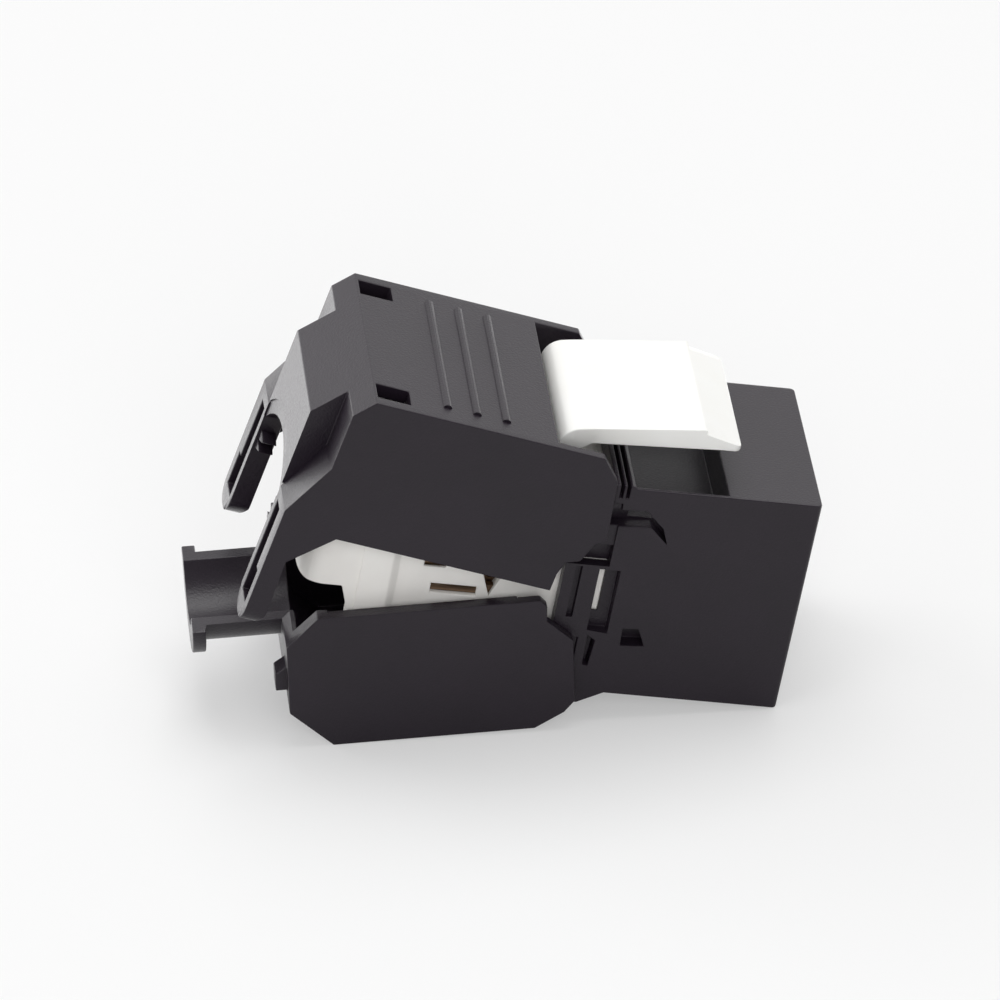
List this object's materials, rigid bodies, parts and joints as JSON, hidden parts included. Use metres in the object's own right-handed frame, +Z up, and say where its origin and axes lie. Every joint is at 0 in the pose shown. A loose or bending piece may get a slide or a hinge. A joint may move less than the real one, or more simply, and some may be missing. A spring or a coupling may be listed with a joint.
{
  "type": "keystone jack",
  "caption": "Keystone jack with a modular plug port, a flexible panel latch and hinged rear jaws that press the wires into a termination block.",
  "frame": {"origin": "centre of the rectangular front face, in the plane of the plug port's mouth", "axes": "+X out of the plug port, towards the plug; +Z up, towards the panel latch; +Y to the right seen from the front, across the jaws"},
  "size_m": [0.0395, 0.0162, 0.0269],
  "materials": {
    "black_plastic": "fine matte moulded black plastic",
    "white_plastic": "smooth white plastic",
    "ivory_plastic": "satin natural white plastic",
    "carrier_plastic": "matte black insert",
    "circuit_board": "green solder mask",
    "bronze": "plain phosphor bronze",
    "gold_plate": "gold-plated spring wire"
  },
  "bodies": {
    "housing": {"front_housing": "black_plastic", "contact_carrier": "carrier_plastic", "pcb": "circuit_board", "termination_block": "ivory_plastic", "contact_1": "gold_plate", "contact_2": "gold_plate", "contact_3": "gold_plate", "contact_4": "gold_plate", "contact_5": "gold_plate", "contact_6": "gold_plate", "contact_7": "gold_plate", "contact_8": "gold_plate", "idc_top_front_left": "bronze", "idc_top_front_right": "bronze", "idc_top_rear_left": "bronze", "idc_top_rear_right": "bronze", "idc_bottom_front_left": "bronze", "idc_bottom_front_right": "bronze", "idc_bottom_rear_left": "bronze", "idc_bottom_rear_right": "bronze"},
    "upper": {"upper_jaw": "black_plastic"},
    "lower": {"lower_jaw": "black_plastic"},
    "latch": {"panel_latch": "white_plastic"}
  },
  "joints": [
    {"name": "upper_jaw_hinge", "type": "hinge", "parent": "housing", "child": "upper", "pos_m": [-0.0153, 0, 0.0052], "axis": [0, 1, 0], "range_deg": [-9.49, 35]},
    {"name": "lower_jaw_hinge", "type": "hinge", "parent": "housing", "child": "lower", "pos_m": [-0.0153, 0, -0.0052], "axis": [0, -1, 0], "range_deg": [-11.82, 35]},
    {"name": "panel_latch_flex", "type": "hinge", "parent": "housing", "child": "latch", "pos_m": [-0.01745, 0, 0.0066], "axis": [0, 1, 0], "range_deg": [0, 11], "stiffness_Nm_per_rad": 0.5}
  ]
}
